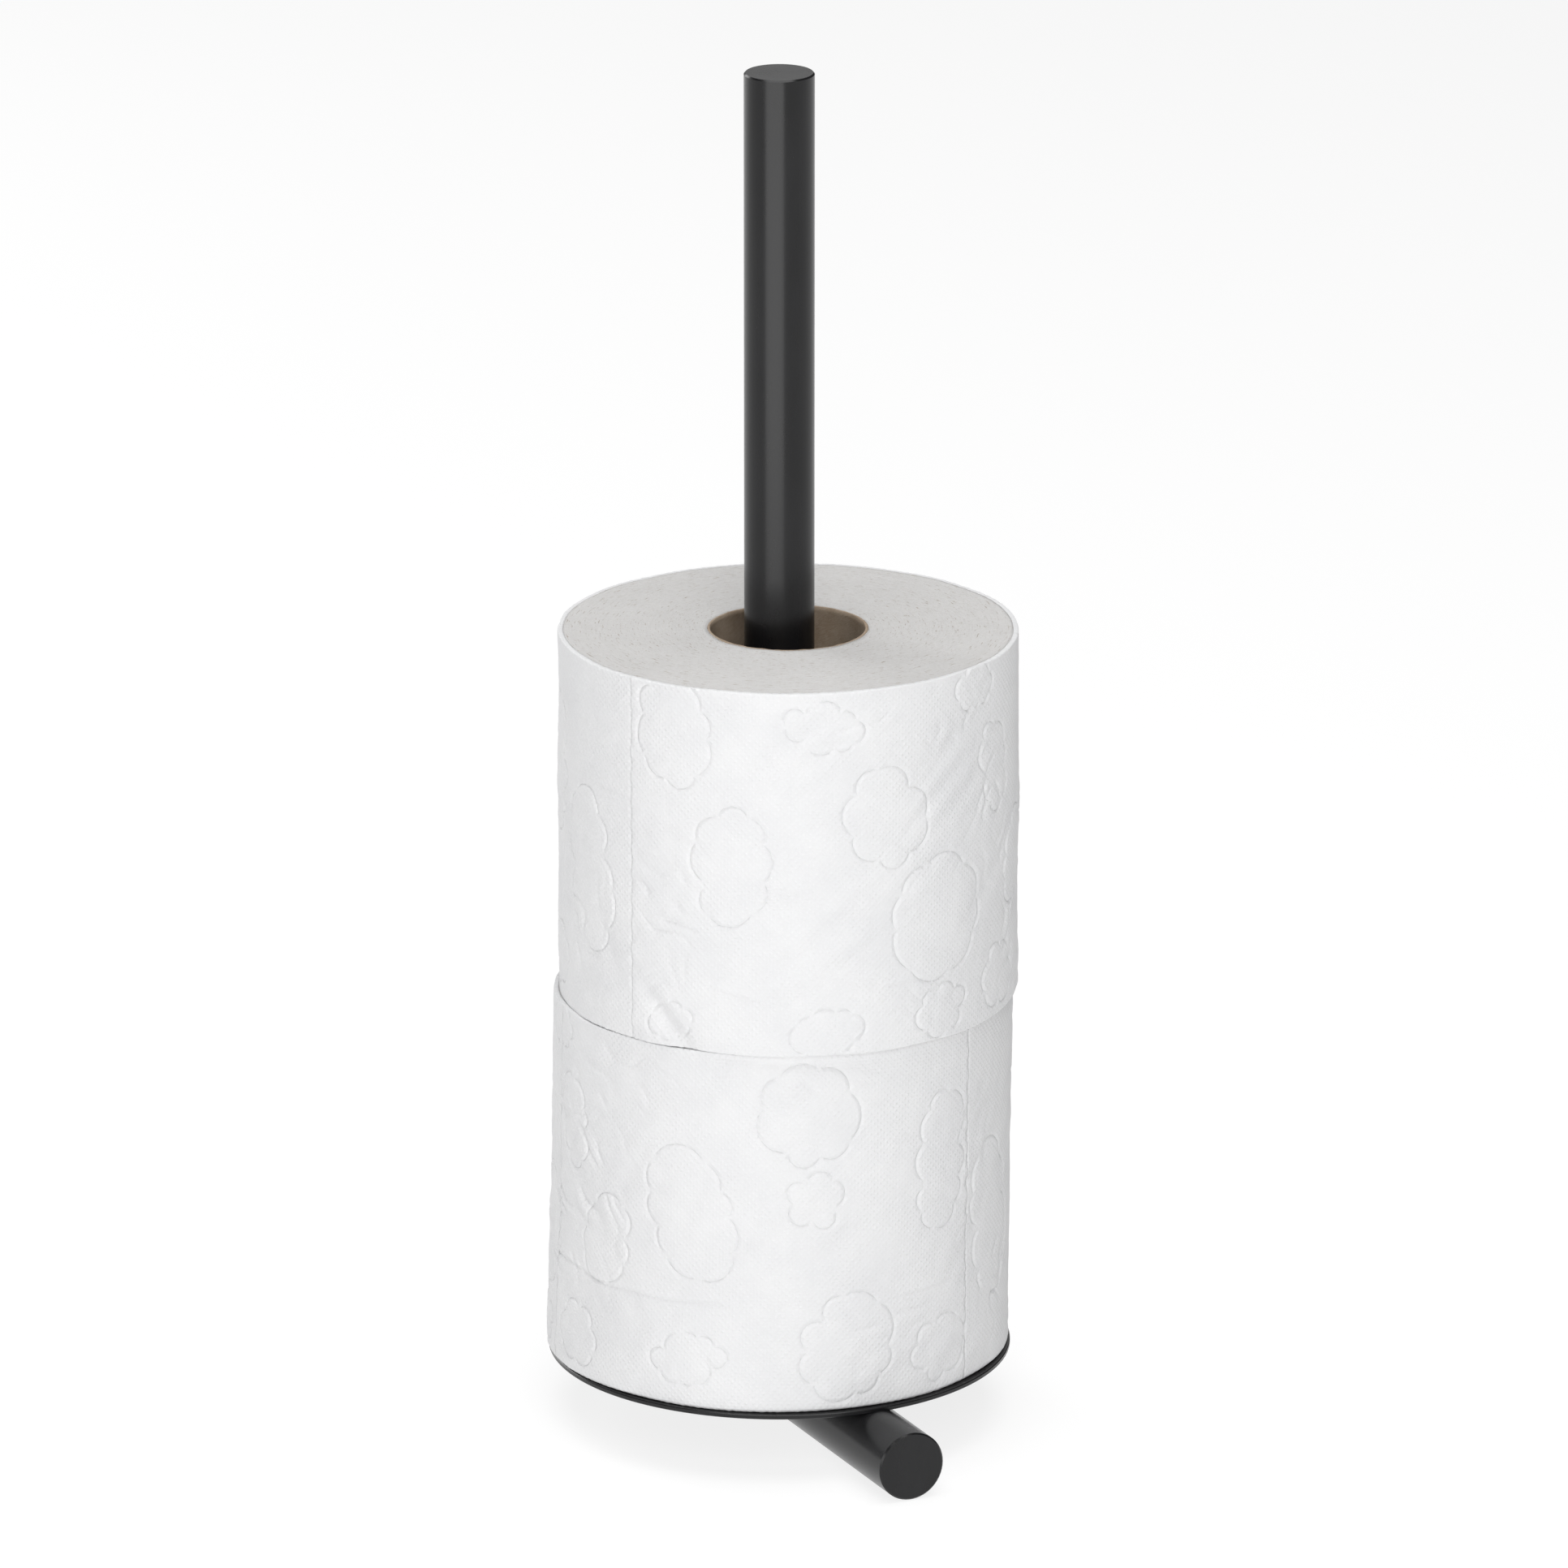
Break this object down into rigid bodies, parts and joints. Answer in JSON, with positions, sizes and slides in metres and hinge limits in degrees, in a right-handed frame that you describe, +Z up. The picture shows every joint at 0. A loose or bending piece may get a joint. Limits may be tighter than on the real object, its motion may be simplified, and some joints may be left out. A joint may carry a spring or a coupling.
{
  "type": "toilet paper holder",
  "caption": "Wall-mounted spare toilet paper holder: a round arm with a thin round tray and an upright post that carries a stack of paper rolls.",
  "frame": {"origin": "on the wall plane, on the arm's axis, at the centre of the bracket's back face", "axes": "+Y points into the wall, +Z up along the post, +X to the right as seen by a person facing the wall"},
  "size_m": [0.1207, 0.154, 0.3572],
  "materials": {
    "holder_black": "satin",
    "fitting_steel": "satin",
    "fastener_steel": "satin",
    "roll_paper": "matte",
    "core_board": "matte"
  },
  "bodies": {
    "root": {"arm": "holder_black", "tray": "holder_black", "post_tube": "holder_black", "post_top_cap": "holder_black", "post_foot": "fitting_steel", "clamp_screw": "fastener_steel", "spring_washer": "fastener_steel", "wall_bracket": "fitting_steel", "grub_screw": "fastener_steel"},
    "lower_roll": {"lower_roll_core": "core_board", "lower_roll_paper": "roll_paper"},
    "upper_roll": {"upper_roll_core": "core_board", "upper_roll_paper": "roll_paper"}
  },
  "joints": [
    {"name": "lower_roll_slide", "type": "slide", "parent": "root", "child": "lower_roll", "axis": [0, 0, 1], "range_m": [0, 0.345]},
    {"name": "upper_roll_slide", "type": "slide", "parent": "lower_roll", "child": "upper_roll", "axis": [0, 0, 1], "range_m": [0, 0.25]}
  ]
}
